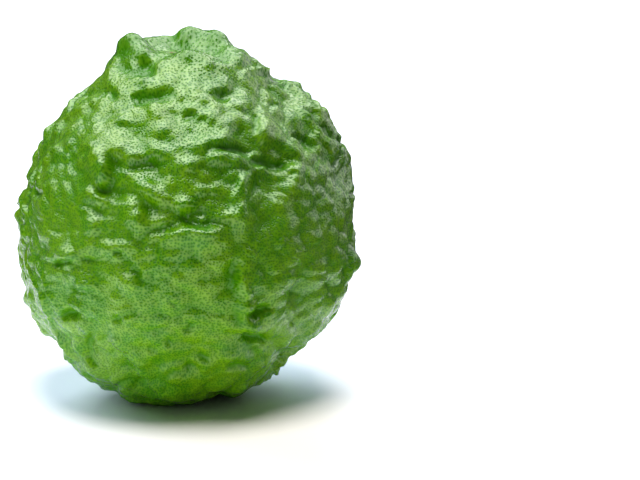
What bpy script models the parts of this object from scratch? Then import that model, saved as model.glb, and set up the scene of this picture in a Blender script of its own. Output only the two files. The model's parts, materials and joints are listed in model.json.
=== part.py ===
"""A whole makrut lime as picked: one fruit, one solid, standing on a small flat spot under its blossom end.

The fruit is a rounded body with a short neck at the stem end, pointing up. The peel is knobbly all over,
with swollen lumps, folded creases, a crown of knobs round the neck's top and a sunk stem scar.

Sizes are in millimetres until the last step, which makes the mesh in metres. +Z is up and -Y is the side
that faces the viewer. The origin is on the table, under the middle of the fruit.
"""

import math
import random
from collections import namedtuple

import bmesh
import bpy
import numpy as np
from mathutils import Vector, noise

# Driving dimensions
BODY_RADIUS = 28.2
CENTRE_HEIGHT = 25.9  # the body's centre above the table; the radius is more, and the rest is the flat spot
SHOULDER_RISE = 2.2  # the body grows towards the neck like a pear
SHOULDER_SPREAD = math.radians(55)
FOOT_FALL = 1.7  # the body draws in towards its foot
FOOT_ANGLE = math.radians(118)
FOOT_SOFTNESS = math.radians(10)
NECK_RISE = 3.9
NECK_ANGLE = math.radians(23.5)  # half the angle that the neck takes up, seen from the body's centre
NECK_SOFTNESS = math.radians(2.4)
NECK_LEAN = (-0.035, 0.01)  # the neck's top leans to the left and a little back
FLAT_SPOT = 5.2  # the radius of the spot underneath that no knob or crease reaches

# The stem scar, in a dimple on the neck's top
DIMPLE_RADIUS = 4.6
DIMPLE_DEPTH = 3.4
SCAR_RADIUS = 1.9
SCAR_RISE = 0.9

# The grain of the mesh, and the random relief between the placed marks
NOISE_SEED = 63  # without one, the noise that pushes places about is new each time
FACES_ACROSS = 30  # quads along each side of the six patches that wrap the fruit
KNOB_LAYERS = ((6.2, 1.5), (4.3, 0.75))  # spacing of the round knobs that crowd the peel, and their height
KNOB_FLATTENING = 1.2  # the knobs are wider across the fruit's axis than along it
KNOB_WARP = 2.0  # how far the knobs are pushed out of their even spacing
KNOB_CREASE = 0.22  # the crease round a knob: its share of the knob's width, and depth by its height
KNOB_CREASE_DEPTH = 0.4
KNOB_LEVEL = 0.45  # the share of a knob's height that stands above the plain body
SWELL_SPACING = 11.0  # the slow swelling under the knobs
SWELL_HEIGHT = 1.6
MARK_WARP = 0.6  # how far the edges of placed marks wander, and over what distance
MARK_WARP_SPACING = 3.8
FRONT_SHARE = 0.75  # how much of the random relief stays under the marks placed by hand

# The viewer looks down at the fruit by this much, and the marks below are placed as the viewer sees them
VIEW_DROP = math.radians(12)

MM = 0.001

# A groove in the peel: its middle, seen from the front, across and up from the body's centre, then its
# length, the half width of its bottom, its line's turn in degrees, its depth, and how far its middle bows up
Crease = namedtuple("Crease", "across up length width turn depth bow")

# A swelling: its middle, its half length and half width, its long axis's turn in degrees, and its height
Lump = namedtuple("Lump", "across up long short turn rise")

NECK_CREASES = (
    Crease(-5.5, 25.4, 9.5, 1.15, 5, 2.0, 0.3),
    Crease(-14.3, 25.0, 6.0, 1.0, -6, 1.3, 0.2),
    Crease(5.8, 25.6, 4.4, 1.1, -14, 1.4, -0.3),
    Crease(-9.6, 30.4, 3.6, 1.1, -30, 1.6, 0.0),
    Crease(-0.4, 33.0, 3.4, 0.8, 12, 0.9, 0.3),
    Crease(-4.4, 33.0, 5.0, 1.1, 84, 0.8, 0.0),
    Crease(5.2, 31.6, 5.5, 0.8, -48, 0.9, 0.0),
    Crease(13.6, 24.4, 8.0, 0.85, -38, 0.9, 0.0),
)

UPPER_CREASES = (
    Crease(1.0, 21.2, 4.6, 1.3, 4, 1.4, 0.5),
    Crease(-6.3, 17.6, 4.2, 0.8, -10, 0.7, 0.3),
    Crease(-11.8, 19.9, 2.8, 0.9, 0, 0.9, 0.0),
    Crease(-6.4, 22.2, 2.8, 0.8, 62, 0.7, 0.0),
    Crease(6.8, 16.2, 8.0, 1.1, 12, 1.4, 0.3),
    Crease(14.0, 14.0, 9.8, 1.35, 10, 1.7, -0.5),
    Crease(18.8, 17.4, 6.6, 1.0, -20, 1.1, 0.3),
    Crease(21.0, 21.6, 4.8, 0.9, -50, 1.0, 0.0),
    Crease(24.4, 18.0, 6.0, 0.9, -56, 1.0, 0.0),
    Crease(-7.2, 12.8, 7.0, 1.2, 0, 1.2, 0.4),
    Crease(-12.6, 8.8, 5.4, 1.1, -8, 1.5, -0.8),
    Crease(2.2, 12.4, 8.0, 0.9, -12, 0.8, 0.3),
    Crease(12.8, 7.4, 9.0, 1.6, 84, 1.1, 0.0),
    Crease(-26.6, 8.3, 4.5, 0.9, 8, 1.2, 0.0),
    Crease(-27.6, -6.6, 4.6, 1.6, 4, 1.3, 0.0),
    Crease(-23.4, 18.2, 9.0, 1.1, 52, 1.2, 0.4),
    Crease(-20.0, 12.5, 6.5, 0.9, 60, 0.5, 0.0),
)

LOWER_CREASES = (
    Crease(-4.6, 0.9, 8.0, 0.8, 28, 1.5, 0.3),
    Crease(2.9, 3.1, 8.4, 0.85, -3, 1.9, 0.3),
    Crease(-20.6, -3.8, 3.8, 0.7, 12, 1.1, 0.4),
    Crease(-12.4, -1.7, 2.8, 0.6, 0, 0.9, 0.2),
    Crease(-9.5, -5.4, 3.8, 0.7, -42, 1.2, 0.3),
    Crease(-6.2, -6.3, 4.0, 0.7, 24, 1.1, -0.2),
    Crease(-19.3, -7.4, 3.6, 0.7, 88, 0.9, 0.0),
    Crease(7.5, -5.6, 10.0, 1.05, 86, 1.6, 0.4),
    Crease(12.0, -11.2, 5.2, 0.9, 22, 1.4, 0.0),
    Crease(10.8, -16.6, 6.2, 1.1, -2, 1.8, 0.4),
    Crease(0.2, -14.4, 3.2, 0.7, 40, 1.0, 0.0),
    Crease(-3.4, -16.2, 2.6, 0.7, 74, 1.0, 0.0),
    Crease(-6.4, -17.4, 4.2, 0.8, -5, 0.9, 0.0),
    Crease(2.9, -19.0, 3.6, 0.8, -25, 0.9, 0.0),
    Crease(0.5, -21.0, 2.2, 0.8, 0, 0.9, 0.0),
    Crease(-20.0, -12.4, 4.0, 0.9, -6, 1.4, 0.5),
    Crease(-16.5, -18.6, 5.6, 0.8, 82, 1.1, 0.0),
    Crease(-11.8, -24.6, 5.6, 1.1, -38, 1.9, 0.0),
    Crease(-11.8, -12.6, 5.2, 0.8, 15, 0.9, -0.2),
    Crease(17.6, -22.4, 4.6, 1.1, 50, 1.6, 0.0),
    Crease(3.4, -10.2, 4.2, 0.7, 18, 0.8, 0.0),
    Crease(-1.6, -7.6, 3.8, 0.7, -14, 0.6, 0.0),
    Crease(6.4, -23.8, 4.0, 1.0, 70, 1.4, 0.0),
    Crease(-6.6, -23.4, 4.0, 1.0, -70, 1.4, 0.0),
)

NECK_LUMPS = (
    Lump(-8.6, 32.6, 4.6, 3.4, 14, 1.6),
    Lump(-0.6, 34.6, 3.6, 2.8, 0, 1.7),
    Lump(-5.0, 34.0, 2.2, 2.4, 0, 1.3),
    Lump(5.4, 34.2, 3.6, 2.8, -14, 1.0),
    Lump(1.2, 31.2, 4.6, 1.8, 6, 0.8),
    Lump(15.6, 25.4, 6.5, 3.4, -36, 1.7),
    Lump(13.6, 28.0, 4.0, 2.6, -30, 1.0),
)

UPPER_LUMPS = (
    Lump(-12.8, 12.9, 4.8, 3.8, -20, 1.1),
    Lump(-6.2, 9.4, 5.2, 1.9, -20, 0.9),
    Lump(-0.4, 6.9, 3.2, 1.5, -8, 0.7),
    Lump(-3.8, 20.2, 4.6, 2.4, 8, 0.7),
    Lump(3.4, 18.3, 5.6, 2.4, 6, 0.7),
    Lump(24.4, 16.0, 9.0, 7.0, -55, 3.3),
    Lump(12.8, 20.0, 2.6, 1.9, 84, 0.9),
    Lump(19.4, 12.6, 4.0, 2.4, 30, 0.9),
    Lump(21.6, 19.4, 7.5, 1.2, -53, 0.8),
    Lump(9.2, 10.2, 3.4, 2.0, 50, 0.7),
    Lump(8.2, 4.8, 3.2, 1.9, 30, 0.8),
    Lump(-15.6, 4.3, 3.6, 2.0, 8, 0.7),
    Lump(-9.6, 4.8, 3.4, 1.9, -52, 0.8),
    Lump(-21.6, 15.6, 9.5, 1.3, 56, 0.8),
    Lump(-17.4, 17.8, 5.0, 3.0, 40, 0.7),
)

LOWER_LUMPS = (
    Lump(2.4, 1.2, 6.4, 1.6, -3, 0.9),
    Lump(-20.8, -1.6, 5.2, 1.8, 6, 0.7),
    Lump(-16.8, -7.2, 3.6, 1.8, 4, 0.7),
    Lump(-10.0, -6.8, 2.2, 1.5, -20, 0.8),
    Lump(10.0, -6.8, 6.0, 1.8, 84, 0.9),
    Lump(11.2, -14.4, 3.2, 2.2, 10, 0.9),
    Lump(-2.0, -24.8, 3.8, 3.6, 0, 0.8),
    Lump(-9.4, -25.0, 3.4, 3.0, 20, 0.7),
    Lump(9.4, -25.0, 4.2, 3.6, 0, 0.2),
    Lump(-21.4, -16.6, 5.4, 1.8, -52, 0.4),
    Lump(-26.4, -10.6, 3.8, 2.6, -70, 0.5),
    Lump(-13.4, -21.6, 3.8, 3.4, 0, 0.8),
    Lump(-17.4, -20.2, 6.0, 3.6, -45, 0.9),
    Lump(14.4, -23.4, 3.8, 3.4, 40, 1.0),
    Lump(-25.0, -5.0, 7.5, 1.0, -72, 0.4),
)

# The knobs that close the crown behind the stem scar, out of the viewer's sight: azimuth from +X in degrees,
# half length and height, then how far they stand from the neck's axis
BACK_KNOBS = ((30, 3.4, 1.1), (88, 3.8, 0.3), (146, 3.2, 1.0))
BACK_KNOB_TIP = math.radians(17)

# The marks of the sides and back, which are strewn by a rule
STREWN_SEED = 11
STREWN_TRIES = 900
STREWN_GAP = 4.6
STREWN_CREASES = 0.55  # the share of the strewn marks that are creases; the others are lumps
STREWN_EDGE = 0.30  # the share of the way round to the front past which marks are placed by hand


def unit(vector):
    return vector / np.linalg.norm(vector)


VIEW_RIGHT = np.array((1.0, 0.0, 0.0))
VIEW_UP = np.array((0.0, math.sin(VIEW_DROP), math.cos(VIEW_DROP)))
TO_VIEWER = np.array((0.0, -math.cos(VIEW_DROP), math.sin(VIEW_DROP)))
NECK_AXIS = unit(np.array((*NECK_LEAN, 1.0)))


def plain_radius(directions):
    """How far the fruit reaches from the body's centre in each direction, before any relief."""
    from_neck = np.arccos(np.clip(directions @ NECK_AXIS, -1, 1))
    shoulder = SHOULDER_RISE * np.exp(-((from_neck / SHOULDER_SPREAD) ** 2))
    neck = NECK_RISE / (1 + np.exp((from_neck - NECK_ANGLE) / NECK_SOFTNESS))
    foot = FOOT_FALL / (1 + np.exp((FOOT_ANGLE - from_neck) / FOOT_SOFTNESS))
    return BODY_RADIUS + shoulder + neck - foot


def seen_at(across, up):
    """The direction from the body's centre to the point that the viewer sees at that place."""
    direction = TO_VIEWER
    for _ in range(6):
        reach = float(plain_radius(direction))
        right, rise = across / reach, up / reach
        towards = math.sqrt(max(0.0, 1 - right * right - rise * rise))
        direction = unit(right * VIEW_RIGHT + rise * VIEW_UP + towards * TO_VIEWER)
    return direction


def along_and_across(directions, middle, up, turn):
    """How far along and across a mark's line each direction is, and whether it is on the mark's side."""
    north = unit(up - middle * (up @ middle))
    east = np.cross(north, middle)
    angle = math.radians(turn)
    line = math.cos(angle) * east + math.sin(angle) * north
    side = math.cos(angle) * north - math.sin(angle) * east
    reach = float(plain_radius(middle))
    return directions @ line * reach, directions @ side * reach, directions @ middle > 0


def groove(directions, middle, up, crease):
    along, across, near = along_and_across(directions, middle, up, crease.turn)
    share = np.clip(2 * along / crease.length, -1.5, 1.5)
    bowed = across - crease.bow * (1 - share**2)
    taper = np.exp(-(share**4)) * near
    floor = np.exp(-((bowed / crease.width) ** 2))
    lips = np.exp(-(((np.abs(bowed) - 2.1 * crease.width) / (1.1 * crease.width)) ** 2))
    return crease.depth * taper * (0.28 * lips - floor)


def swelling(directions, middle, up, lump):
    along, across, near = along_and_across(directions, middle, up, lump.turn)
    away = (along / lump.long) ** 2 + (across / lump.short) ** 2
    return lump.rise * np.exp(-(away**1.3)) * near


def placed_relief(directions):
    """The lumps and creases of the side that the viewer sees, placed one by one."""
    relief = np.zeros(len(directions))
    for crease in NECK_CREASES + UPPER_CREASES + LOWER_CREASES:
        relief += groove(directions, seen_at(crease.across, crease.up), VIEW_UP, crease)
    for lump in NECK_LUMPS + UPPER_LUMPS + LOWER_LUMPS:
        relief += swelling(directions, seen_at(lump.across, lump.up), VIEW_UP, lump)
    return relief


def strewn_relief(directions):
    """The same kinds of mark over the sides and back, at random but never crowded."""
    draw = random.Random(STREWN_SEED)
    middles = []
    relief = np.zeros(len(directions))
    upright = np.array((0.0, 0.0, 1.0))
    for _ in range(STREWN_TRIES):
        middle = unit(np.array([draw.gauss(0, 1) for _ in range(3)]))
        crowded = any(BODY_RADIUS * np.linalg.norm(middle - other) < STREWN_GAP for other in middles)
        at_front = middle @ TO_VIEWER > STREWN_EDGE
        at_pole = middle @ NECK_AXIS > math.cos(NECK_ANGLE) or middle[2] < -0.93
        if crowded or at_front or at_pole:
            continue
        middles.append(middle)
        if draw.random() < STREWN_CREASES:
            length, width, turn = draw.uniform(4, 9), draw.uniform(0.8, 1.3), draw.gauss(0, 32)
            depth, bow = draw.uniform(0.7, 1.5), draw.uniform(-0.5, 0.6)
            relief += groove(directions, middle, upright, Crease(0, 0, length, width, turn, depth, bow))
        else:
            long, short, turn = draw.uniform(2.6, 5.5), draw.uniform(1.5, 3.0), draw.gauss(0, 35)
            rise = draw.uniform(0.6, 1.2)
            relief += swelling(directions, middle, upright, Lump(0, 0, long, short, turn, rise))
    return relief


def back_crown(directions):
    """The knobs behind the stem scar."""
    relief = np.zeros(len(directions))
    upright = np.array((0.0, 1.0, 0.0))
    for azimuth, half_width, rise in BACK_KNOBS:
        angle = math.radians(azimuth)
        level = math.sin(BACK_KNOB_TIP)
        middle = unit(NECK_AXIS + np.array((level * math.cos(angle), level * math.sin(angle), 0.0)))
        relief += swelling(directions, middle, upright, Lump(0, 0, half_width, half_width * 0.85, 0, rise))
    return relief


def stem_scar(directions):
    """The dimple on the neck's top, with the small worn disc where the stem came away."""
    reach = float(plain_radius(NECK_AXIS))
    away = reach * np.arccos(np.clip(directions @ NECK_AXIS, -1, 1))
    dimple = -DIMPLE_DEPTH * np.exp(-((away / DIMPLE_RADIUS) ** 2) ** 1.5)
    disc = SCAR_RISE * np.exp(-((away / SCAR_RADIUS) ** 4))
    return dimple + disc


def wandering(directions):
    """The directions pushed about a little, so that marks placed by them have uneven edges."""
    places = [Vector(direction) * BODY_RADIUS for direction in directions]
    pushed = np.array([place + noise.noise_vector(place / MARK_WARP_SPACING) * MARK_WARP for place in places])
    return pushed / np.linalg.norm(pushed, axis=1)[:, None]


def knobs(directions):
    """Round knobs with creases between them, at two sizes, over a slow swelling, everywhere on the peel.

    Each knob is a cell round a random point: highest there, and lowest where the next point is as near.
    """
    relief = np.zeros(len(directions))
    for index, direction in enumerate(directions):
        place = Vector(direction) * BODY_RADIUS
        place.z *= KNOB_FLATTENING
        place += noise.noise_vector(place / SWELL_SPACING) * KNOB_WARP
        relief[index] = SWELL_HEIGHT * noise.noise(place / SWELL_SPACING)
        for spacing, height in KNOB_LAYERS:
            nearest, second = noise.voronoi(place / spacing)[0][:2]
            crease = math.exp(-(((second - nearest) / KNOB_CREASE) ** 2))
            relief[index] += height * (KNOB_LEVEL - nearest**2 - KNOB_CREASE_DEPTH * crease)
    return relief


def radius(directions):
    """How far the finished peel reaches from the body's centre in each direction."""
    facing = np.clip(directions @ TO_VIEWER / STREWN_EDGE, 0, 1)
    share = 1 - (1 - FRONT_SHARE) * facing * facing * (3 - 2 * facing)
    uneven = wandering(directions)
    relief = placed_relief(uneven) + strewn_relief(uneven) + back_crown(uneven)
    return plain_radius(directions) + relief + share * knobs(directions) + stem_scar(directions)


def wrapped_cube():
    """A cube whose six sides are evenly wrapped on a ball, so that all its faces are about the same size."""
    ball = bmesh.new()
    bmesh.ops.create_cube(ball, size=2)
    bmesh.ops.subdivide_edges(ball, edges=ball.edges, cuts=FACES_ACROSS - 1, use_grid_fill=True)
    for vertex in ball.verts:
        vertex.co = Vector([math.tan(side * math.pi / 4) for side in vertex.co]).normalized()
    return ball


def makrut_lime():
    noise.seed_set(NOISE_SEED)
    ball = wrapped_cube()
    directions = np.array([vertex.co for vertex in ball.verts])
    directions /= np.linalg.norm(directions, axis=1)[:, None]
    places = directions * radius(directions)[:, None]
    places[:, 2] = np.maximum(places[:, 2] + CENTRE_HEIGHT, 0)
    places[:, :2] -= (places[:, :2].max(axis=0) + places[:, :2].min(axis=0)) / 2
    underneath = (directions[:, 2] < 0) & (np.hypot(places[:, 0], places[:, 1]) < FLAT_SPOT)
    places[underneath, 2] = 0
    for vertex, place in zip(ball.verts, places * MM):
        vertex.co = place
    bmesh.ops.recalc_face_normals(ball, faces=ball.faces)
    mesh = bpy.data.meshes.new("makrut_lime")
    ball.to_mesh(mesh)
    ball.free()
    mesh.shade_smooth()
    lime = bpy.data.objects.new("makrut_lime", mesh)
    bpy.context.scene.collection.objects.link(lime)
    return lime


def peel():
    """Waxy green citrus peel."""
    material = bpy.data.materials.new("makrut_peel")
    material.use_nodes = True
    shader = material.node_tree.nodes["Principled BSDF"]
    shader.inputs["Base Color"].default_value = (0.115, 0.275, 0.022, 1)
    shader.inputs["Roughness"].default_value = 0.38
    shader.inputs["Metallic"].default_value = 0
    return material


for leftover in list(bpy.data.objects):
    bpy.data.objects.remove(leftover)
makrut_lime().data.materials.append(peel())
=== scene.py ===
"""The looks of a whole makrut lime: a creased, pitted and waxy peel, on a white table under soft light.

Sizes are in millimetres where a name ends in MM. Places on the photograph are in its pixels, of which
it has 640 by 480.
"""

import json
import math
import random
from collections import namedtuple

import bpy
import numpy as np
from bpy.props import FloatProperty, FloatVectorProperty, PointerProperty
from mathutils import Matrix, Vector, noise

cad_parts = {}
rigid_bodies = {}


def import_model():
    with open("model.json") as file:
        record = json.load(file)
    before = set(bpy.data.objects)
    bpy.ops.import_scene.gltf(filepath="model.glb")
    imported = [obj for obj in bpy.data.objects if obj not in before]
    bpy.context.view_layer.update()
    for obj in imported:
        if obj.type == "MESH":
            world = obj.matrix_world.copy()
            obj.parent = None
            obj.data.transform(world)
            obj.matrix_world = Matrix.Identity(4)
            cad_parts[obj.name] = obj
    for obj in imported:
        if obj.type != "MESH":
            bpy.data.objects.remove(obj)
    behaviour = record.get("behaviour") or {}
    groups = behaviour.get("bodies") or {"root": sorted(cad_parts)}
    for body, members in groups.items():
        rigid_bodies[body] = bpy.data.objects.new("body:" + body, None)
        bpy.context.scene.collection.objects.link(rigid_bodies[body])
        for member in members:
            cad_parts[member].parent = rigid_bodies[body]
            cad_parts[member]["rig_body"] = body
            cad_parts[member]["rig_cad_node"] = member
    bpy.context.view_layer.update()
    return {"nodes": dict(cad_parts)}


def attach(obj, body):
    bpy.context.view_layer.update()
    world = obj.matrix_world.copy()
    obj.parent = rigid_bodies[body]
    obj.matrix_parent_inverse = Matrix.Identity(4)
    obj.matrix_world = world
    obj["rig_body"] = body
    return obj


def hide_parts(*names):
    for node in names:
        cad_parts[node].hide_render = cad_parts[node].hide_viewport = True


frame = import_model()

bl_info = {
    "name": "Makrut Lime",
    "version": (1, 0, 0),
    "blender": (4, 5, 0),
    "location": "3D View > Sidebar > Makrut Lime",
    "description": "Dresses a whole makrut lime in its peel and sets it on a white table",
    "category": "Add Mesh",
}

MM = 0.001
NODE = "makrut_lime"

# The photograph's frame, and where the middle of the fruit's round body is in it
PHOTO_WIDTH = 640
PHOTO_MIDDLE = (320, 240)
BODY_MIDDLE = (187, 240)
PIXELS_PER_MM = 5.87

# The camera looks down at the fruit by this much, with a long lens, as for small goods
VIEW_DROP = math.radians(12)
LENS_MM = 180
SENSOR_MM = 36
CENTRE_HEIGHT_MM = 25.9  # the middle of the round body, above the table

FOCAL_PIXELS = PHOTO_WIDTH * LENS_MM / SENSOR_MM
CENTRE = Vector((0, 0, CENTRE_HEIGHT_MM * MM))
TO_CAMERA = Vector((0, -math.cos(VIEW_DROP), math.sin(VIEW_DROP)))
CAMERA_PLACE = CENTRE + TO_CAMERA * (FOCAL_PIXELS / PIXELS_PER_MM * MM)
CAMERA_AIM = CENTRE + Vector(((PHOTO_MIDDLE[0] - BODY_MIDDLE[0]) / PIXELS_PER_MM * MM, 0, 0))

# A crease in the peel: the pixels it passes on the photograph, half its width in pixels, and its
# depth in millimetres. The two factors multiply every fold's width and depth.
Fold = namedtuple("Fold", "way half_width depth")
FOLD_WIDTH_FACTOR = 1.6
FOLD_DEPTH_FACTOR = 0.6

# The dark line that shows is a fold's upper wall, so its floor is this many half widths lower down
FOLD_DROP = 0.5

# How far to either side of its way a fold or a ridge is worked out, in half widths
FOLD_REACH = 5
RIDGE_REACH = 3

# The lips beside a fold: how far out they are and how widely they spread, in half widths, and their
# height as a share of its depth
LIP_PLACE = 2.2
LIP_SPREAD = 1.3
LIP_SHARE = 0.4

# A raised line: the pixels it passes, half its width in pixels, and its height in millimetres
Ridge = namedtuple("Ridge", "way half_width rise")

# A swelling: the middle of its upper slope, which the light catches, half its length and width in
# pixels, its turn in degrees, and its height in millimetres, which is below nought for a hollow.
# The two factors multiply the length and width, and the height.
Knoll = namedtuple("Knoll", "slope long short turn rise")
KNOLL_SPAN_FACTOR = 1.1
KNOLL_RISE_FACTOR = 1.3
KNOLL_STEEPNESS = 1.3  # above 1, its top is flatter and its sides are steeper

# How far that slope is above the swelling's own middle, as a share of half its width
SLOPE_ABOVE_TOP = 0.65

# The relief of these lists fades out as the peel turns away from the camera: over what part of
# facing it, from 0 for peel seen edge on to 1 for peel that looks straight at it
SEEN_FACING = (0.0, 0.2)

# A swelling of the outline: its place, radius and height, all in millimetres
Knob = namedtuple("Knob", "place radius rise")

CROWN_FOLDS = (
    Fold(((115, 58), (121, 64), (133, 68), (143, 69), (156, 64)), 4.5, 1.3),
    Fold(((118, 56), (124, 48), (131, 46)), 4.5, 1.2),
    Fold(((146, 43), (153, 42)), 1.2, 0.3),
    Fold(((168, 41), (176, 39)), 2.4, 0.8),
    Fold(((177, 50), (182, 45), (190, 44)), 2.6, 1.6),
    Fold(((186, 38), (194, 37), (200, 33)), 2.0, 0.4),
    Fold(((206, 34), (215, 38), (222, 44)), 2.0, 0.35),
    Fold(((203, 42), (214, 49), (223, 55), (231, 57)), 3.0, 0.9),
    Fold(((252, 65), (259, 65)), 1.8, 0.5),
    Fold(((128, 50), (134, 42), (140, 35)), 3.0, 0.6),
    Fold(((166, 33), (172, 36), (180, 36)), 3.0, 0.6),
    Fold(((130, 97), (140, 96), (152, 97), (163, 94), (178, 92)), 3.4, 1.4),
    Fold(((108, 94), (118, 92)), 3.0, 0.9),
    Fold(((82, 100), (92, 95), (100, 92)), 2.5, 0.5),
    Fold(((212, 89), (216, 93), (221, 95), (225, 90)), 2.4, 0.8),
    Fold(((226, 93), (232, 91)), 2.0, 0.5),
)

UPPER_FOLDS = (
    Fold(((86, 122), (88, 112), (94, 106)), 3.0, 0.5),
    Fold(((114, 120), (122, 125), (131, 127)), 2.2, 0.45),
    Fold(((144, 108), (147, 112), (151, 117)), 2.0, 0.25),
    Fold(((183, 119), (188, 114), (193, 110)), 2.2, 0.7),
    Fold(((193, 110), (196, 120), (208, 117)), 2.2, 0.8),
    Fold(((254, 70), (264, 75), (275, 80), (286, 90)), 2.0, 0.7),
    Fold(((265, 84), (278, 94), (287, 101)), 2.0, 0.7),
    Fold(((269, 101), (274, 106)), 3.0, 0.6),
    Fold(((306, 96), (312, 101), (317, 106)), 2.5, 0.7),
    Fold(((303, 107), (311, 112), (317, 115)), 2.5, 0.7),
    Fold(((255, 113), (256, 122), (256, 132)), 2.0, 0.6),
    Fold(((236, 131), (243, 133)), 2.5, 0.3),
    Fold(((205, 148), (213, 146), (222, 146), (238, 150), (250, 155)), 2.5, 1.0),
    Fold(((248, 160), (257, 161), (266, 158)), 2.5, 1.0),
    Fold(((264, 158), (272, 163), (287, 165)), 2.5, 1.1),
    Fold(((290, 134), (300, 138), (308, 143), (317, 146)), 2.8, 0.9),
    Fold(((322, 122), (327, 132), (334, 140)), 2.0, 0.7),
    Fold(((336, 135), (343, 146)), 2.5, 0.7),
    Fold(((129, 163), (139, 166), (150, 163), (160, 165)), 2.5, 0.35),
    Fold(((106, 152), (113, 158), (121, 162)), 2.0, 0.4),
)

MIDDLE_FOLDS = (
    Fold(((96, 184), (105, 190), (117, 191), (127, 185), (131, 178)), 3.0, 0.15),
    Fold(((88, 205), (99, 209), (106, 206)), 2.5, 0.6),
    Fold(((79, 215), (87, 211)), 2.0, 0.5),
    Fold(((29, 189), (35, 191), (42, 194)), 2.0, 0.9),
    Fold(((48, 185), (47, 195), (48, 203)), 1.4, 0.4),
    Fold(((290, 173), (296, 170)), 1.8, 0.6),
    Fold(((268, 186), (271, 192), (274, 198)), 1.6, 0.5),
    Fold(((257, 170), (254, 185), (250, 198), (251, 212)), 2.2, 0.6),
    Fold(((180, 213), (186, 220), (193, 222), (203, 224), (211, 222)), 1.8, 1.0),
    Fold(((211, 222), (224, 223), (232, 221)), 1.6, 0.6),
    Fold(((139, 240), (147, 232), (158, 228), (170, 224), (180, 219)), 2.0, 0.7),
    Fold(((54, 264), (61, 262), (67, 260), (74, 262)), 1.4, 0.9),
    Fold(((79, 258), (86, 258), (98, 260)), 1.2, 0.5),
    Fold(((113, 250), (117, 251), (122, 251)), 1.6, 1.0),
    Fold(((130, 268), (138, 271), (141, 280), (147, 277)), 1.8, 0.9),
    Fold(((147, 277), (154, 271), (163, 268)), 1.4, 0.4),
    Fold(((73, 276), (74, 285), (80, 289), (96, 289)), 1.6, 0.6),
    Fold(((234, 256), (233, 268), (232, 280), (233, 290), (240, 300)), 3.5, 0.7),
)

LOWER_FOLDS = (
    Fold(((62, 317), (67, 311), (73, 311), (80, 316)), 2.2, 1.0),
    Fold(((94, 331), (90, 338), (89, 345)), 1.8, 0.7),
    Fold(((89, 354), (94, 360), (98, 365)), 1.8, 0.6),
    Fold(((104, 338), (111, 336), (120, 336)), 1.2, 0.4),
    Fold(((112, 318), (124, 314), (136, 310)), 2.0, 0.6),
    Fold(((83, 372), (90, 377), (97, 382)), 2.2, 0.9),
    Fold(((115, 384), (126, 378), (134, 376)), 2.2, 0.8),
    Fold(((246, 315), (255, 312), (262, 308), (270, 304)), 2.2, 1.2),
    Fold(((234, 304), (236, 314), (240, 325)), 3.5, 0.8),
    Fold(((242, 331), (250, 335), (258, 335), (266, 336)), 2.4, 1.3),
    Fold(((244, 342), (251, 346), (257, 348)), 3.0, 0.7),
    Fold(((192, 322), (188, 328), (182, 328)), 1.6, 0.8),
    Fold(((165, 338), (171, 340)), 2.0, 0.8),
    Fold(((147, 346), (157, 349)), 2.0, 0.6),
    Fold(((169, 301), (177, 305)), 1.2, 0.5),
    Fold(((211, 295), (220, 293)), 2.5, 0.5),
    Fold(((199, 351), (205, 356), (210, 357)), 2.0, 0.8),
    Fold(((186, 362), (190, 366)), 2.0, 0.8),
    Fold(((163, 377), (171, 372), (182, 370)), 1.8, 0.7),
    Fold(((225, 366), (238, 363), (248, 364)), 2.0, 0.8),
    Fold(((213, 312), (226, 314)), 1.4, 0.4),
    Fold(((287, 361), (292, 367), (300, 371)), 2.0, 1.2),
)

RIDGES = (
    Ridge(((112, 94), (128, 95), (150, 96), (182, 95), (205, 94), (232, 90)), 10, 1.0),
    Ridge(((104, 74), (117, 66), (129, 65)), 2.0, 0.3),
    Ridge(((56, 129), (64, 119), (74, 111), (87, 105), (95, 100), (110, 99)), 1.8, 0.45),
    Ridge(((60, 124), (54, 134)), 1.4, 0.4),
    Ridge(((57, 145), (45, 158), (38, 173), (36, 182)), 1.6, 0.5),
    Ridge(((36, 191), (25, 200), (23, 209), (26, 216)), 1.6, 0.5),
    Ridge(((29, 225), (28, 241)), 1.4, 0.35),
    Ridge(((22, 227), (21, 245)), 1.4, 0.3),
    Ridge(((23, 254), (30, 277), (40, 296), (49, 320), (58, 339), (67, 357)), 1.8, 0.45),
    Ridge(((33, 254), (40, 274), (48, 295), (56, 308)), 1.8, 0.45),
    Ridge(((243, 71), (262, 70), (273, 70), (287, 81), (300, 94), (312, 105), (326, 113)), 2.2, 0.6),
    Ridge(((296, 105), (304, 114), (317, 131), (332, 150), (333, 160)), 2.2, 0.6),
    Ridge(((326, 138), (343, 153)), 2.0, 0.5),
    Ridge(((292, 353), (284, 363), (273, 373)), 1.6, 0.5),
    Ridge(((166, 238), (180, 231), (192, 231), (206, 235), (222, 233)), 4.0, 0.4),
    Ridge(((148, 240), (161, 236)), 2.2, 0.4),
    Ridge(((93, 344), (96, 353)), 1.8, 0.4),
    Ridge(((67, 303), (74, 305), (82, 313)), 2.0, 0.4),
    Ridge(((89, 142), (99, 158), (107, 166), (105, 177)), 4.0, 0.5),
    Ridge(((86, 189), (99, 198), (111, 200)), 3.5, 0.5),
    Ridge(((246, 172), (238, 190), (231, 202)), 3.5, 0.6),
    Ridge(((240, 268), (245, 285), (250, 300)), 4.0, 0.5),
)

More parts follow.
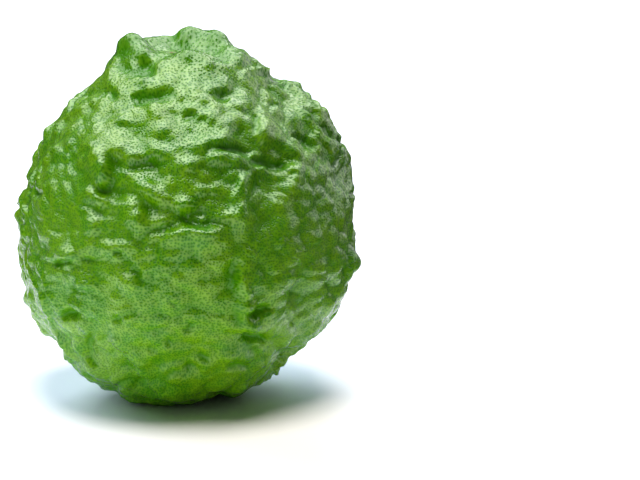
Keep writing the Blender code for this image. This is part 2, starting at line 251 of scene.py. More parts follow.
KNOLLS = (
    Knoll((188, 143), 46, 18, 0, 0.7),
    Knoll((157, 115), 14, 8, 0, 0.5),
    Knoll((163, 127), 12, 7, 0, 0.4),
    Knoll((158, 137), 14, 10, 0, 0.6),
    Knoll((186, 168), 24, 14, 0, 0.7),
    Knoll((147, 186), 14, 9, -28, 0.5),
    Knoll((232, 112), 12, 9, 0, 0.6),
    Knoll((118, 148), 14, 8, 0, 0.6),
    Knoll((153, 147), 9, 8, 0, 0.5),
    Knoll((134, 205), 9, 12, -30, 0.6),
    Knoll((241, 206), 9, 9, -30, 0.6),
    Knoll((60, 250), 16, 6, 15, 0.4),
    Knoll((176, 347), 16, 7, 0, 0.4),
    Knoll((138, 370), 12, 9, 0, 0.4),
    Knoll((165, 176), 22, 12, 0, -0.2),
    Knoll((276, 168), 14, 14, 0, -0.5),
    Knoll((246, 141), 14, 9, 0, -0.6),
    Knoll((285, 155), 14, 12, 0, -0.6),
    Knoll((265, 216), 14, 20, 0, -0.6),
    Knoll((150, 205), 16, 8, 0, -0.35),
    Knoll((195, 209), 12, 8, 0, -0.35),
    Knoll((212, 41), 17, 9, -28, -0.6),
    Knoll((172, 36), 9, 8, 0, -0.7),
    Knoll((146, 60), 8, 8, 0, -0.7),
    Knoll((143, 77), 7, 7, 0, 0.4),
    Knoll((171, 77), 8, 7, 0, 0.4),
    Knoll((192, 78), 10, 8, 0, 0.35),
    Knoll((216, 76), 12, 9, -8, 0.4),
    Knoll((240, 96), 10, 9, 0, 0.7),
    Knoll((106, 104), 8, 6, 0, 0.4),
    Knoll((128, 108), 12, 8, 0, 0.4),
    Knoll((156, 107), 9, 7, 0, 0.6),
    Knoll((189, 106), 10, 6, 0, 0.6),
    Knoll((213, 108), 9, 9, 0, 0.6),
    Knoll((118, 117), 10, 5, 0, 0.35),
    Knoll((156, 126), 16, 9, 25, 0.6),
    Knoll((176, 128), 12, 10, 0, 0.5),
    Knoll((205, 138), 12, 9, 10, 0.7),
    Knoll((223, 127), 10, 13, -10, 0.8),
    Knoll((170, 147), 24, 8, 6, 0.7),
    Knoll((111, 138), 16, 9, 0, 0.8),
    Knoll((95, 144), 6, 8, 0, 0.4),
    Knoll((97, 161), 9, 17, 0, 1.0),
    Knoll((98, 158), 11, 9, 0, 0.7),
    Knoll((104, 171), 7, 9, -10, 0.6),
    Knoll((133, 150), 8, 8, 0, 0.6),
    Knoll((122, 169), 6, 8, 0, 0.35),
    Knoll((140, 178), 12, 8, -10, 0.7),
    Knoll((156, 190), 14, 8, -28, 0.9),
    Knoll((186, 199), 11, 7, -6, 0.9),
    Knoll((206, 187), 10, 5, 8, 0.5),
    Knoll((185, 161), 11, 7, 0, 0.7),
    Knoll((196, 160), 8, 4, 0, 0.35),
    Knoll((221, 156), 24, 6, -2, 0.55),
    Knoll((236, 167), 8, 7, 30, 0.4),
    Knoll((246, 176), 7, 10, -20, 0.85),
    Knoll((244, 194), 9, 10, -35, 1.0),
    Knoll((235, 214), 15, 8, 0, 0.85),
    Knoll((257, 165), 9, 5, 0, 0.4),
    Knoll((265, 125), 7, 13, 0, 0.9),
    Knoll((277, 134), 6, 7, 0, 0.4),
    Knoll((91, 190), 9, 8, -30, 0.6),
    Knoll((105, 198), 12, 8, -15, 0.55),
    Knoll((127, 199), 7, 8, 0, 0.7),
    Knoll((137, 212), 9, 9, -25, 0.9),
    Knoll((93, 220), 8, 8, 0, 0.4),
    Knoll((206, 231), 20, 10, 0, 1.1),
    Knoll((176, 230), 14, 8, 12, 0.6),
    Knoll((294, 164), 9, 6, 15, 0.5),
    Knoll((295, 183), 7, 8, 0, 0.5),
    Knoll((129, 277), 6, 6, 0, 0.5),
    Knoll((86, 284), 12, 6, 0, 0.4),
    Knoll((112, 243), 20, 7, 0, 0.4),
    Knoll((68, 252), 12, 6, 0, 0.4),
    Knoll((254, 324), 8, 7, 0, 0.5),
    Knoll((246, 290), 9, 22, 0, 0.5),
    Knoll((51, 208), 3, 3, 0, 0.2),
    Knoll((48, 232), 5, 5, 0, 0.3),
)

KNOBS = (
    Knob((-9.0, 0.0, 61.0), 4.0, 1.0),
    Knob((-2.4, -0.5, 62.5), 2.4, 1.3),
    Knob((-1.4, -3.0, 58.0), 2.6, 1.6),
    Knob((12.2, 0.0, 57.0), 4.0, 1.1),
    Knob((-26.6, 0.0, 12.0), 5.0, 1.1),
    Knob((-13.0, -8.0, 2.0), 4.0, 0.7),
    Knob((-9.0, -14.0, 2.5), 5.0, 1.6),
    Knob((-17.5, -3.0, 2.5), 5.0, 2.9),
    Knob((-22.8, -1.0, 7.5), 5.0, 1.4),
    Knob((-24.5, 0.0, 43.8), 2.6, 1.0),
    Knob((-17.5, 0.0, 53.0), 2.6, 1.0),
    Knob((-20.0, 0.0, 50.5), 2.6, 0.9),
    Knob((24.0, 0.0, 50.0), 3.5, 1.2),
    Knob((28.0, 0.0, 44.0), 3.5, 0.8),
    Knob((0.0, -16.0, 2.0), 5.0, 1.8),
    Knob((8.5, -14.5, 2.5), 5.0, 1.6),
)

# The folds on the sides and back, strewn by a rule
STREWN_SEED = 5
STREWN_TRIES = 1200
STREWN_GAP_MM = 5.2
STREWN_LIMIT = 0.18  # where the peel faces the camera by more than this, the lists above hold
STREWN_POLE = 0.93  # none is higher or lower than this on a ball of radius 1
STREWN_TURN = 0.6  # how unevenly they turn from level, in radians
STREWN_HALF_LENGTHS_MM = (1.6, 4.2)
STREWN_HALF_WIDTHS_MM = (0.32, 0.5)
STREWN_DEPTHS_MM = (0.4, 1.1)
STREWN_BOWS_MM = (-0.9, 0.9)
STREWN_LIP_SHARE = 0.3
STREWN_NEARNESS = 0.97  # the cosine of the angle that a fold reaches over, seen from the body's middle

# Fine relief all over: the spacing of the small lumps and their height, both in millimetres
COBBLE_LAYERS = ((4.0, 0.65), (2.0, 0.19))
COBBLE_FLATTENING = 1.25  # the lumps are wider across the fruit's axis than along it
COBBLE_LIFT = 0.4  # how far a lump's middle stands above the peel, as a share of its height
COBBLE_CREASE = 0.35  # the crease round a lump: its share of the lump's width and of its height
COBBLE_CREASE_DEPTH = 0.3
COBBLE_WARP_MM = 1.0  # how far the lumps are pushed from an even spacing, and over what distance
COBBLE_WARP_SPACING_MM = 5.0
GRAIN_SPACING_MM = 1.0
GRAIN_HEIGHT_MM = 0.02
NOISE_SEED = 4
HOLLOW_PASSES = 24  # how many times the peel is smoothed to tell its hollows from its lumps

# All this relief but the knobs starts over these heights, so that the flat spot stays flat
RELIEF_START_MM = (0.2, 2.5)

# The crown, round the dimple, starts over these heights. Painted shade makes it a deeper green than
# the rest, by this share of the way to the painted shade of a fold's floor, and lowers its glint.
CROWN_START_MM = (57.0, 59.5)
CROWN_SHADE = 0.6

# The solid's own lumps are smoothed away in part on the side that the lists above shape, but not on
# the crown: by how much high and low on the body, over what heights that changes, and over what
# part of facing the camera
SOFTENING_HIGH = 0.8
SOFTENING_LOW = 0.25
SOFTENING_CHANGE_MM = (22, 38)
SOFTENING_FACING = (-0.2, 0.2)
SOFTENING_PASSES = 90

# Relief moves the peel up and down on the photograph too, so it is placed again from where the peel
# has moved to
PLACING_PASSES = 3

# The solid's triangles become quads where they are this flat, and each quad is split this many
# times
QUAD_ANGLE = math.radians(75)
FINER_LEVELS = 2

# The stem scar, on the floor of the dimple in the neck's top
SCAR_MIDDLE_MM = (-1.4, 0.2, 57.7)
SCAR_RADIUS_MM = 1.9
SCAR_EDGE = (0.8, 1.2)  # its colour fades out between these shares of the radius

# Each patch of pores is laid out as on a ball of this radius, this far from the next on the map
PATCH_RADIUS_MM = 29
PATCH_GAP_MM = 100
PIT_TINT = 0.56  # the share of the pore's colour in the middle of a pit

# The soft boxes round the fruit: where each is, its width and length, how bright its face looks,
# and whether it is for the shine of the peel or for its colour. They all aim at the fruit, and
# leave the table alone.
SoftBox = namedtuple("SoftBox", "name place size radiance task")
SOFT_BOXES = (
    SoftBox("top_shine", (-40, 0, 450), (320, 320), 3.8, "shine"),
    SoftBox("wide_shine", (-45, 105, 450), (1050, 690), 4.6, "shine"),
    SoftBox("right_shine", (800, 480, 260), (900, 420), 1.4, "shine"),
    SoftBox("back_shine", (330, 850, 130), (450, 260), 0.8, "shine"),
    SoftBox("top_colour", (-90, 0, 440), (320, 320), 5.0, "colour"),
    SoftBox("right_colour", (480, 260, 420), (320, 320), 2.6, "colour"),
    SoftBox("front_colour", (-660, -360, 210), (600, 400), 1.0, "colour"),
)
SOFT_BOX_AIM = (0, 0, 30)

# The light on the table comes from far off: where it is, how widely it spreads, its strength and
# its colour
FarLamp = namedtuple("FarLamp", "name direction spread strength colour")
FAR_LAMPS = (
    FarLamp("table_top", (0.03, -0.05, 1), math.radians(32), 3.6, "FFF8F0"),
    FarLamp("table_back", (-0.4, 0.9, 0.38), math.radians(60), 7.0, "D6E4FF"),
)

# The table: its left, right, near and far edges. It is narrow, because the peel reflects it.
TABLE_EDGES_MM = (-90, 52, -250, 650)

# The room: how bright it is as light, and as the backdrop that the camera sees
ROOM_RADIANCE = 0.08
BACKDROP_RADIANCE = 1.2
ROOM_COLOUR = "FFFFFF"


def linear(colour):
    """An sRGB hex colour, such as 6D9F1C, as linear red, green, blue and alpha."""
    values = [int(colour[i : i + 2], 16) / 255 for i in (0, 2, 4)]
    return [v / 12.92 if v <= 0.04045 else ((v + 0.055) / 1.055) ** 2.4 for v in values] + [1.0]


class LimeSizes(bpy.types.PropertyGroup):
    """Sizes of the peel's surface."""

    pore_spacing: FloatProperty(
        name="Pore Spacing",
        description="Distance from one oil gland to the next",
        default=0.52 * MM,
        unit="LENGTH",
    )
    pore_depth: FloatProperty(
        name="Pore Depth",
        description="How deep the pit of an oil gland is",
        default=0.05 * MM,
        unit="LENGTH",
    )
    cobble_height: FloatProperty(
        name="Cobble Height",
        description="Multiplies the height of the small lumps that cover the peel",
        default=1.0,
    )
    fold_depth: FloatProperty(
        name="Fold Depth",
        description="Multiplies the depth of every fold",
        default=1.0,
    )


class LimeColours(bpy.types.PropertyGroup):
    """Colours of the peel and of the table."""

    deep: FloatVectorProperty(
        name="Deep Green",
        description="The greener patches of the peel",
        subtype="COLOR",
        size=4,
        default=linear("509C04"),
    )
    bright: FloatVectorProperty(
        name="Bright Green",
        description="The yellower patches of the peel",
        subtype="COLOR",
        size=4,
        default=linear("74B006"),
    )
    net: FloatVectorProperty(
        name="Net",
        description="The skin between the oil glands",
        subtype="COLOR",
        size=4,
        default=linear("92C814"),
    )
    pore: FloatVectorProperty(
        name="Pore",
        description="The pit of an oil gland",
        subtype="COLOR",
        size=4,
        default=linear("2A6A00"),
    )
    # Painted shade: the darker green that the hollows, the floors of folds and the neck's top are mixed
    # towards
    hollow_shade: FloatVectorProperty(
        name="Hollow",
        description="The bottom of a fold",
        subtype="COLOR",
        size=4,
        default=linear("469000"),
    )
    scar: FloatVectorProperty(
        name="Scar",
        description="The dry scar where the stem came away",
        subtype="COLOR",
        size=4,
        default=linear("8A7448"),
    )
    table: FloatVectorProperty(
        name="Table",
        description="The table",
        subtype="COLOR",
        size=4,
        default=linear("F4F4F6"),
    )


def add_node(tree, kind, inputs=(), **settings):
    """Adds a node with its settings and links.

    The inputs pair a socket's name or number with its value, or with the socket that feeds it.
    """
    made = tree.nodes.new(kind)
    for name, value in settings.items():
        setattr(made, name, value)
    for socket, value in dict(inputs).items():
        if isinstance(value, bpy.types.NodeSocket):
            tree.links.new(value, made.inputs[socket])
        else:
            made.inputs[socket].default_value = value
    return made


def smoothstep(low, high, values):
    share = np.clip((values - low) / (high - low), 0, 1)
    return share * share * (3 - 2 * share)


def on_photo(points):
    """Where points, in metres, land on the photograph, in pixels across and down."""
    forward = (CAMERA_AIM - CAMERA_PLACE).normalized()
    right = forward.cross(Vector((0, 0, 1))).normalized()
    up = right.cross(forward)
    offsets = points - np.array(CAMERA_PLACE)
    away = offsets @ np.array(forward)
    across = PHOTO_MIDDLE[0] + FOCAL_PIXELS * (offsets @ np.array(right)) / away
    down = PHOTO_MIDDLE[1] - FOCAL_PIXELS * (offsets @ np.array(up)) / away
    return np.column_stack((across, down))


def smooth_way(way, steps=5):
    """A smooth line through the points of a way."""
    points = np.array(way, float)
    points = np.vstack((2 * points[0] - points[1], points, 2 * points[-1] - points[-2]))
    line = []
    for before, start, end, after in zip(points, points[1:], points[2:], points[3:]):
        for step in range(steps):
            t = step / steps
            line.append(
                0.5
                * (
                    2 * start
                    + (end - before) * t
                    + (2 * before - 5 * start + 4 * end - after) * t**2
                    + (3 * start - before - 3 * end + after) * t**3
                )
            )
    line.append(points[-2])
    return np.array(line)


def off_the_way(places, way):
    """How far each place is from a way, and how far along it, from 0 at one end to 1 at the other."""
    line = smooth_way(way)
    nearest = np.full(len(places), np.inf)
    along = np.zeros(len(places))
    lengths = np.linalg.norm(np.diff(line, axis=0), axis=1)
    passed = 0.0
    for start, end, length in zip(line, line[1:], lengths):
        step = end - start
        share = np.clip(((places - start) @ step) / length**2, 0, 1)
        away = np.linalg.norm(places - start - share[:, None] * step, axis=1)
        closer = away < nearest
        nearest[closer] = away[closer]
        along[closer] = (passed + share[closer] * length) / lengths.sum()
        passed += length
    return nearest, along


def near_the_way(places, way, reach):
    corners = np.array(way)
    low, high = corners.min(axis=0) - reach, corners.max(axis=0) + reach
    return np.where(((places > low) & (places < high)).all(axis=1))[0]


def fold_shape(away, along):
    """A fold's floor and the two lips beside it, for distances counted in half widths."""
    taper = np.clip(1 - np.abs(2 * along - 1) ** 5, 0, 1) ** 0.7
    floor = np.exp(-(away**2)) * taper
    lips = np.exp(-(((away - LIP_PLACE) / LIP_SPREAD) ** 2)) * taper
    return floor, lips


def placed_relief(points, facing):
    """The folds, ridges and knolls that the photograph shows, in millimetres, and their painted shade.
    """
    places = on_photo(points)
    seen = smoothstep(*SEEN_FACING, facing)
    relief = np.zeros(len(points))
    fold_shade = np.zeros(len(points))
    for fold in CROWN_FOLDS + UPPER_FOLDS + MIDDLE_FOLDS + LOWER_FOLDS:
        half_width = FOLD_WIDTH_FACTOR * fold.half_width
        near = near_the_way(places, fold.way, FOLD_REACH * half_width)
        away, along = off_the_way(places[near] - (0, FOLD_DROP * half_width), fold.way)
        floor, lips = fold_shape(away / half_width, along)
        relief[near] += FOLD_DEPTH_FACTOR * fold.depth * (LIP_SHARE * lips - floor)
        # The fold's floor is kept as a mask of painted shade
        fold_shade[near] = np.maximum(fold_shade[near], floor * min(1, fold.depth))
    for ridge in RIDGES:
        near = near_the_way(places, ridge.way, RIDGE_REACH * ridge.half_width)
        away, along = off_the_way(places[near], ridge.way)
        crest, _ = fold_shape(away / ridge.half_width, along)
        relief[near] += ridge.rise * crest
    for knoll in KNOLLS:
        turn = math.radians(knoll.turn)
        offset = (places - knoll.slope) * (1, -1) + (0, SLOPE_ABOVE_TOP * knoll.short)
        along = offset @ (math.cos(turn), math.sin(turn)) / (KNOLL_SPAN_FACTOR * knoll.long)
        across = offset @ (-math.sin(turn), math.cos(turn)) / (KNOLL_SPAN_FACTOR * knoll.short)
        swelling = np.exp(-((along**2 + across**2) ** KNOLL_STEEPNESS))
        relief += KNOLL_RISE_FACTOR * knoll.rise * swelling
    return relief * seen, fold_shade * seen


def knob_relief(points):
    """The swellings of the outline, in millimetres."""
    relief = np.zeros(len(points))
    for knob in KNOBS:
        away = np.linalg.norm(points - np.array(knob.place) * MM, axis=1) / MM
        relief += knob.rise * np.exp(-((away / knob.radius) ** 2))
    return relief


def strewn_relief(points):
    """Folds of the same kind over the sides and back, at random but never crowded."""
    draw = random.Random(STREWN_SEED)
    directions = points - np.array(CENTRE)
    reach = np.linalg.norm(directions, axis=1) / MM
    directions = directions / np.linalg.norm(directions, axis=1)[:, None]
    relief = np.zeros(len(points))
    fold_shade = np.zeros(len(points))
    middles = []
    for _ in range(STREWN_TRIES):
        middle = Vector([draw.gauss(0, 1) for _ in range(3)]).normalized()
        crowded = any((middle - other).length * CENTRE_HEIGHT_MM < STREWN_GAP_MM for other in middles)
        if crowded or middle @ TO_CAMERA > STREWN_LIMIT or abs(middle.z) > STREWN_POLE:
            continue
        middles.append(middle)
        east = Vector((-middle.y, middle.x, 0)).normalized()
        north = middle.cross(east)
        turn = draw.gauss(0, STREWN_TURN)
        line = np.array(math.cos(turn) * east + math.sin(turn) * north)
        side = np.array(math.cos(turn) * north - math.sin(turn) * east)
        half_length = draw.uniform(*STREWN_HALF_LENGTHS_MM)
        half_width = draw.uniform(*STREWN_HALF_WIDTHS_MM)
        depth = draw.uniform(*STREWN_DEPTHS_MM)
        bow = draw.uniform(*STREWN_BOWS_MM)
        near = np.where(directions @ np.array(middle) > STREWN_NEARNESS)[0]
        share = directions[near] @ line * reach[near] / half_length
        across = directions[near] @ side * reach[near] - bow * (1 - share**2)
        floor, lips = fold_shape(np.abs(across) / half_width, np.clip((share + 1) / 2, 0, 1))
        relief[near] += depth * (STREWN_LIP_SHARE * lips - floor)
        # The fold's floor is kept as a mask of painted shade
        fold_shade[near] = np.maximum(fold_shade[near], floor * depth)
    return relief, np.clip(fold_shade, 0, 1)


def cobble_relief(points):
    """Small round lumps with creases between them, and a finer unevenness, all over the peel."""
    relief = np.zeros(len(points))
    for index, point in enumerate(points):
        place = Vector(point) / MM
        place += noise.noise_vector(place / COBBLE_WARP_SPACING_MM) * COBBLE_WARP_MM
        place.z *= COBBLE_FLATTENING
        for spacing, height in COBBLE_LAYERS:
            nearest, second = noise.voronoi(place / spacing)[0][:2]
            crease = math.exp(-(((second - nearest) / COBBLE_CREASE) ** 2))
            relief[index] += height * (COBBLE_LIFT - nearest**2 - COBBLE_CREASE_DEPTH * crease)
        relief[index] += GRAIN_HEIGHT_MM * noise.noise(place / GRAIN_SPACING_MM)
    return relief


def neighbour_average(values, edges, count):
    """Each point's values averaged with those of the points that it shares an edge with."""
    total = values.copy()
    for start, end in ((0, 1), (1, 0)):
        for axis in range(3):
            total[:, axis] += np.bincount(edges[:, start], values[edges[:, end], axis], count)
    shared = 1 + np.bincount(edges.ravel(), minlength=count)
    return total / shared[:, None]


def spread(points, mesh, passes):
    """The points, each drawn to its neighbours so many times."""
    edges = np.empty(len(mesh.edges) * 2, int)
    mesh.edges.foreach_get("vertices", edges)
    edges = edges.reshape(-1, 2)
    for _ in range(passes):
        points = neighbour_average(points, edges, len(points))
    return points


def hollows(points, mesh):
    """How deep each point lies below the peel smoothed over about 2 mm, in millimetres."""
    outwards = points - np.array(CENTRE)
    outwards /= np.linalg.norm(outwards, axis=1)[:, None]
    return ((spread(points, mesh, HOLLOW_PASSES) - points) * outwards).sum(axis=1) / MM


def lay_out_pores(mesh):
    """A UV map in millimetres, in six patches, so that the oil glands are as far apart everywhere."""
    middles = np.empty(len(mesh.polygons) * 3)
    mesh.polygons.foreach_get("center", middles)
    middles = middles.reshape(-1, 3) - np.array(CENTRE)
    axis = np.abs(middles).argmax(axis=1)
    sign = np.sign(middles[np.arange(len(middles)), axis])
    corners = np.empty(len(mesh.loops), int)
    mesh.loops.foreach_get("vertex_index", corners)
    sides = np.empty(len(mesh.polygons), int)
    mesh.polygons.foreach_get("loop_total", sides)
    axis, sign = np.repeat(axis, sides), np.repeat(sign, sides)
    points = np.empty(len(mesh.vertices) * 3)
    mesh.vertices.foreach_get("co", points)
    offsets = points.reshape(-1, 3)[corners] - np.array(CENTRE)
    row = np.arange(len(offsets))
    forward = np.abs(offsets[row, axis])
    across = np.arctan2(offsets[row, (axis + 1) % 3], forward) * PATCH_RADIUS_MM
    up = np.arctan2(offsets[row, (axis + 2) % 3], forward) * PATCH_RADIUS_MM
    patch = axis * 2 + (sign > 0)
    layer = mesh.uv_layers.new(name="pores")
    layer.data.foreach_set("uv", np.column_stack((across + PATCH_GAP_MM * patch, up)).ravel())


def add_attribute(mesh, name, values):
    mesh.attributes.new(name, "FLOAT", "POINT").data.foreach_set("value", values.astype(np.float32))


def lime_peel(sizes, colours):
    """Citrus peel, waxed by the fruit itself.

    A thin clear wax over green skin: it is glossy, but the pits of the oil glands break its
    reflections up into a net of small lights. A lump looks pale and grainy where it faces the lamp,
    and the folds, which have nothing to reflect, are a deep and clean green. That green is partly
    painted shade, on the hollows and the neck's top too, where the glint is lowered as well.
    """
    material = bpy.data.materials.new("waxy_citrus_peel")
    material.use_nodes = True
    tree = material.node_tree
    tree.nodes.clear()
    place = add_node(tree, "ShaderNodeTexCoord").outputs["Object"]
    on_skin = add_node(tree, "ShaderNodeUVMap", uv_map="pores").outputs["UV"]
    # Masks of painted shade: how deep the peel lies in a hollow, and the floors of folds with the
    # neck's top
    hollow_shade = add_node(tree, "ShaderNodeAttribute", attribute_name="hollow_shade").outputs["Fac"]
    floor = add_node(tree, "ShaderNodeAttribute", attribute_name="fold").outputs["Fac"]
    scar = add_node(tree, "ShaderNodeAttribute", attribute_name="scar").outputs["Fac"]

    # Oil glands: one pit in each cell, of uneven size
    glands = add_node(
        tree,
        "ShaderNodeTexVoronoi",
        {"Vector": on_skin, "Scale": MM / sizes.pore_spacing, "Randomness": 0.85},
        voronoi_dimensions="2D",
    )
    gland_size = add_node(
        tree, "ShaderNodeMapRange", {"Value": glands.outputs["Color"], "To Min": 0.72, "To Max": 1.25}
    )
    gland_reach = add_node(
        tree,
        "ShaderNodeMath",
        {0: glands.outputs["Distance"], 1: gland_size.outputs[0]},
        operation="DIVIDE",
    )
    pit = add_node(
        tree,
        "ShaderNodeMapRange",
        {"Value": gland_reach.outputs[0], "From Min": 0.05, "From Max": 0.43, "To Min": 1, "To Max": 0},
        interpolation_type="SMOOTHSTEP",
    ).outputs[0]

    # Colour drifts over 9 mm, and more quickly over 2 mm
    drift = add_node(tree, "ShaderNodeTexNoise", {"Vector": place, "Scale": 1 / (9 * MM), "Detail": 2})
    mottle = add_node(tree, "ShaderNodeTexNoise", {"Vector": place, "Scale": 1 / (2 * MM), "Detail": 3})
    tone = add_node(
        tree, "ShaderNodeMath", {0: drift.outputs["Fac"], 1: mottle.outputs["Fac"]}, operation="ADD"
    )
    tone = add_node(
        tree,
        "ShaderNodeMapRange",
        {"Value": tone.outputs[0], "From Min": 0.75, "From Max": 1.25},
        interpolation_type="SMOOTHSTEP",
    )
    skin = add_node(
        tree,
        "ShaderNodeMix",
        {0: tone.outputs[0], 6: tuple(colours.deep), 7: tuple(colours.bright)},
        data_type="RGBA",
    )
    between = add_node(
        tree,
        "ShaderNodeMapRange",
        {"Value": gland_reach.outputs[0], "From Min": 0.35, "From Max": 0.75, "To Max": 0.35},
    )
    skin = add_node(
        tree,
        "ShaderNodeMix",
        {0: between.outputs[0], 6: skin.outputs[2], 7: tuple(colours.net)},
        data_type="RGBA",
    )
    pitted = add_node(tree, "ShaderNodeMath", {0: pit, 1: PIT_TINT}, operation="MULTIPLY")
    skin = add_node(
        tree,
        "ShaderNodeMix",
        {0: pitted.outputs[0], 6: skin.outputs[2], 7: tuple(colours.pore)},
        data_type="RGBA",
    )
    # Painted shade: the hollows, the floors of folds and the neck's top are mixed towards a darker
    # green
    painted_shade = add_node(
        tree,
        "ShaderNodeMapRange",
        {"Value": hollow_shade, "From Min": -0.05, "From Max": 0.45, "To Max": 0.75},
    )
    painted_shade = add_node(
        tree, "ShaderNodeMath", {0: painted_shade.outputs[0], 1: floor}, operation="MAXIMUM", use_clamp=True
    )
    skin = add_node(
        tree,
        "ShaderNodeMix",
        {0: painted_shade.outputs[0], 6: skin.outputs[2], 7: tuple(colours.hollow_shade)},
        data_type="RGBA",
    )
    cork = add_node(tree, "ShaderNodeTexNoise", {"Vector": place, "Scale": 1 / (0.5 * MM), "Detail": 4})
    corky = add_node(
        tree,
        "ShaderNodeMix",
        {0: cork.outputs["Fac"], 6: linear("4E3C20"), 7: tuple(colours.scar)},
        data_type="RGBA",
    )
    skin = add_node(
        tree,
        "ShaderNodeMix",
        {0: scar, 6: skin.outputs[2], 7: corky.outputs[2]},
        data_type="RGBA",
    )

    # The wax is thinner and duller on the scar, and a little uneven everywhere
    dull = add_node(
        tree, "ShaderNodeMapRange", {"Value": mottle.outputs["Fac"], "To Min": 0.15, "To Max": 0.25}
    )
    rough = add_node(
        tree,
        "ShaderNodeMix",
        {0: scar, 2: dull.outputs[0], 3: 0.85},
        data_type="FLOAT",
    )
    uneven = add_node(
        tree, "ShaderNodeTexNoise", {"Vector": place, "Scale": 1 / (1.1 * MM), "Detail": 3}
    )
    uneven = add_node(
        tree, "ShaderNodeBump", {"Height": uneven.outputs["Fac"], "Distance": 0.03 * MM, "Strength": 1}
    )
    pocked = add_node(
        tree,
        "ShaderNodeBump",
        {"Height": pit, "Distance": sizes.pore_depth, "Strength": 1, "Normal": uneven.outputs[0]},
        invert=True,
    )

    # Little light gets back out of a pit or the floor of a fold, so its glint is lowered there:
    # painted shade on the shine, which the hollows and the neck's top get too
    open_skin = add_node(tree, "ShaderNodeMapRange", {"Value": pit, "To Min": 0.5, "To Max": 0.12})
    shaded = add_node(
        tree, "ShaderNodeMapRange", {"Value": painted_shade.outputs[0], "To Min": 1, "To Max": 0.5}
    )
    glint = add_node(
        tree, "ShaderNodeMath", {0: open_skin.outputs[0], 1: shaded.outputs[0]}, operation="MULTIPLY"
    )
    wax = add_node(
        tree,
        "ShaderNodeBsdfPrincipled",
        {
            "Base Color": skin.outputs[2],
            "Roughness": rough.outputs[0],
            "IOR": 1.5,
            "Specular IOR Level": glint.outputs[0],
            "Normal": pocked.outputs[0],
        },
    )
    add_node(tree, "ShaderNodeOutputMaterial", {"Surface": wax.outputs[0]})
    return material


def white_table(colours):
    """Matt white laminate: smooth, with no shine of its own in soft light."""
    material = bpy.data.materials.new("matt_white_laminate")
    material.use_nodes = True
    shader = material.node_tree.nodes["Principled BSDF"]
    shader.inputs["Base Color"].default_value = colours.table
    shader.inputs["Roughness"].default_value = 0.8
    shader.inputs["Specular IOR Level"].default_value = 0.2
    return material


class LIME_OT_peel(bpy.types.Operator):
    """Dress the lime in its finely folded and pitted peel"""

    bl_idname = "lime.peel"
    bl_label = "Add Peel"

    def execute(self, context):
        sizes, colours = context.scene.lime_sizes, context.scene.lime_colours
        bpy.ops.object.select_all(action="DESELECT")
        frame["nodes"][NODE].select_set(True)
        context.view_layer.objects.active = frame["nodes"][NODE]
        bpy.ops.object.duplicate()
        bpy.ops.object.parent_clear(type="CLEAR_KEEP_TRANSFORM")
        peel = context.active_object
        peel.name = peel.data.name = "peel"
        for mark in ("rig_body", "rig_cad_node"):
            del peel[mark]

        # The copy's loose triangles become one closed skin of quads, fine enough for the folds
        bpy.ops.object.mode_set(mode="EDIT")
        bpy.ops.mesh.select_all(action="SELECT")
        bpy.ops.mesh.remove_doubles(threshold=0.001 * MM)
        bpy.ops.mesh.tris_convert_to_quads(face_threshold=QUAD_ANGLE, shape_threshold=QUAD_ANGLE)
        bpy.ops.object.mode_set(mode="OBJECT")
        finer = peel.modifiers.new("finer", "SUBSURF")
        finer.levels = finer.render_levels = FINER_LEVELS
        bpy.ops.object.modifier_apply(modifier=finer.name)

        mesh = peel.data
        count = len(mesh.vertices)
        points, normals = np.empty(count * 3), np.empty(count * 3)
        mesh.vertices.foreach_get("co", points)
        mesh.vertices.foreach_get("normal", normals)
        points, normals = points.reshape(-1, 3), normals.reshape(-1, 3)
        noise.seed_set(NOISE_SEED)
        facing = normals @ np.array(TO_CAMERA)
        heights = points[:, 2] / MM
        high_up = smoothstep(*SOFTENING_CHANGE_MM, heights)
        softening = SOFTENING_LOW + (SOFTENING_HIGH - SOFTENING_LOW) * high_up
        softening *= smoothstep(*SOFTENING_FACING, facing) * (1 - smoothstep(*CROWN_START_MM, heights))
        points += softening[:, None] * (spread(points, mesh, SOFTENING_PASSES) - points)
        outwards = points - np.array(CENTRE)
        outwards /= np.linalg.norm(outwards, axis=1)[:, None]
        strewn, strewn_fold_shade = strewn_relief(points)
        rest = sizes.fold_depth * strewn + sizes.cobble_height * cobble_relief(points)
        off_table = smoothstep(*RELIEF_START_MM, points[:, 2] / MM)
        moved = points
        for _ in range(PLACING_PASSES):
            placed, placed_fold_shade = placed_relief(moved, facing)
            relief = off_table * (sizes.fold_depth * placed + rest) + knob_relief(points)
            moved = points + outwards * relief[:, None] * MM
        points = moved
        points[:, 2] = np.maximum(points[:, 2], 0)
        mesh.vertices.foreach_set("co", points.ravel())
        mesh.update()

        from_scar = np.linalg.norm(points - np.array(SCAR_MIDDLE_MM) * MM, axis=1) / MM
        add_attribute(mesh, "scar", 1 - smoothstep(*SCAR_EDGE, from_scar / SCAR_RADIUS_MM))
        # Painted shade on the neck's top, in the same mask as the floors of the folds
        painted_crown_shade = CROWN_SHADE * smoothstep(*CROWN_START_MM, points[:, 2] / MM)
        add_attribute(mesh, "fold", np.maximum.reduce((placed_fold_shade, strewn_fold_shade, painted_crown_shade)))
        # How deep each point lies in a hollow: the mask of painted shade in the peel's colour
        add_attribute(mesh, "hollow_shade", hollows(points, mesh))
        lay_out_pores(mesh)
        mesh.materials.clear()
        mesh.materials.append(lime_peel(sizes, colours))
        mesh.shade_smooth()
        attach(peel, "root")
        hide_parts(NODE)
        return {"FINISHED"}


def light_only(lamp, link_state, table):
    """Makes a lamp light the table alone, INCLUDE, or everything else, EXCLUDE."""
    lit = bpy.data.collections.new(f"{lamp.name}_lights")
    lit.objects.link(table)
    lit.collection_objects[0].light_linking.link_state = link_state
    lamp.light_linking.receiver_collection = lit


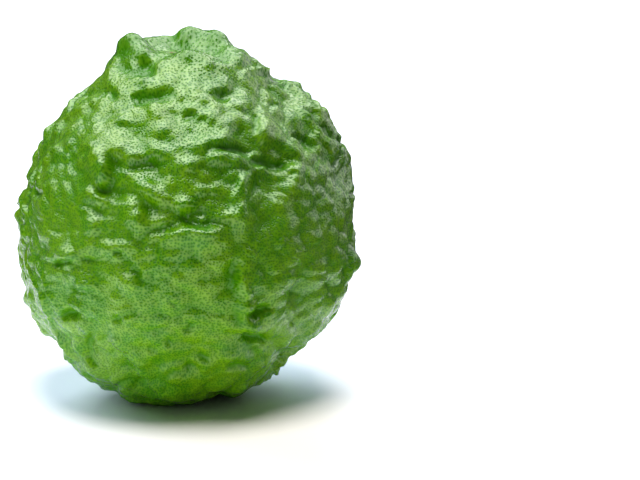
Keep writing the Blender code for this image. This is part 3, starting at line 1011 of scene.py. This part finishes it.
def add_soft_box(box, table):
    """A lit rectangle that aims at the fruit. Its power comes from how bright its face looks."""
    data = bpy.data.lights.new(box.name, "AREA")
    data.shape = "RECTANGLE"
    data.size, data.size_y = box.size[0] * MM, box.size[1] * MM
    data.energy = box.radiance * math.pi * data.size * data.size_y
    lamp = bpy.data.objects.new(box.name, data)
    bpy.context.scene.collection.objects.link(lamp)
    lamp.location = Vector(box.place) * MM
    aim = Vector(SOFT_BOX_AIM) * MM - lamp.location
    lamp.rotation_euler = aim.to_track_quat("-Z", "Y").to_euler()
    lamp.visible_diffuse = box.task == "colour"
    lamp.visible_glossy = box.task == "shine"
    light_only(lamp, "EXCLUDE", table)


def add_far_lamp(far, table):
    data = bpy.data.lights.new(far.name, "SUN")
    data.angle = far.spread
    data.energy = far.strength
    data.color = linear(far.colour)[:3]
    lamp = bpy.data.objects.new(far.name, data)
    bpy.context.scene.collection.objects.link(lamp)
    lamp.rotation_euler = (-Vector(far.direction)).to_track_quat("-Z", "Y").to_euler()
    light_only(lamp, "INCLUDE", table)


class LIME_OT_stage(bpy.types.Operator):
    """Add the table, the lamps and the camera"""

    bl_idname = "lime.stage"
    bl_label = "Add Stage"

    def execute(self, context):
        bpy.ops.object.select_all(action="DESELECT")
        left, right, near, far = (edge * MM for edge in TABLE_EDGES_MM)
        bpy.ops.mesh.primitive_plane_add(size=1, location=((left + right) / 2, (near + far) / 2, 0))
        bpy.ops.transform.resize(value=(right - left, far - near, 1))
        bpy.ops.object.transform_apply()
        table = context.active_object
        table.name = table.data.name = "table"
        table.data.materials.append(white_table(context.scene.lime_colours))
        for box in SOFT_BOXES:
            add_soft_box(box, table)
        for far_lamp in FAR_LAMPS:
            add_far_lamp(far_lamp, table)

        world = bpy.data.worlds.new("white_room")
        context.scene.world = world
        world.use_nodes = True
        tree = world.node_tree
        tree.nodes.clear()
        seen = add_node(tree, "ShaderNodeLightPath").outputs["Is Camera Ray"]
        level = add_node(
            tree, "ShaderNodeMix", {0: seen, 2: ROOM_RADIANCE, 3: BACKDROP_RADIANCE}, data_type="FLOAT"
        )
        room = add_node(
            tree, "ShaderNodeBackground", {"Color": linear(ROOM_COLOUR), "Strength": level.outputs[0]}
        )
        add_node(tree, "ShaderNodeOutputWorld", {"Surface": room.outputs[0]})

        bpy.ops.object.camera_add(location=CAMERA_PLACE)
        camera = context.active_object
        camera.name = "camera"
        camera.rotation_euler = (CAMERA_AIM - CAMERA_PLACE).to_track_quat("-Z", "Y").to_euler()
        camera.data.lens = LENS_MM
        camera.data.sensor_width = SENSOR_MM
        camera.data.clip_start = 0.01
        context.scene.camera = camera
        context.scene.view_settings.view_transform = "Standard"
        return {"FINISHED"}


class LIME_PT_panel(bpy.types.Panel):
    """Lists the lime's sizes, colours and pieces"""

    bl_idname = "LIME_PT_panel"
    bl_label = "Makrut Lime"
    bl_space_type = "VIEW_3D"
    bl_region_type = "UI"
    bl_category = "Makrut Lime"

    def draw(self, context):
        for group in (context.scene.lime_sizes, context.scene.lime_colours):
            for name in group.__annotations__:
                self.layout.prop(group, name)
        for operator in (LIME_OT_peel, LIME_OT_stage):
            self.layout.operator(operator.bl_idname)


CLASSES = (LimeSizes, LimeColours, LIME_OT_peel, LIME_OT_stage, LIME_PT_panel)


def register():
    for kind in CLASSES:
        bpy.utils.register_class(kind)
    bpy.types.Scene.lime_sizes = PointerProperty(type=LimeSizes)
    bpy.types.Scene.lime_colours = PointerProperty(type=LimeColours)


def unregister():
    del bpy.types.Scene.lime_sizes
    del bpy.types.Scene.lime_colours
    for kind in reversed(CLASSES):
        bpy.utils.unregister_class(kind)


def main():
    register()
    bpy.ops.lime.stage()
    bpy.ops.lime.peel()


if __name__ == "__main__":
    main()
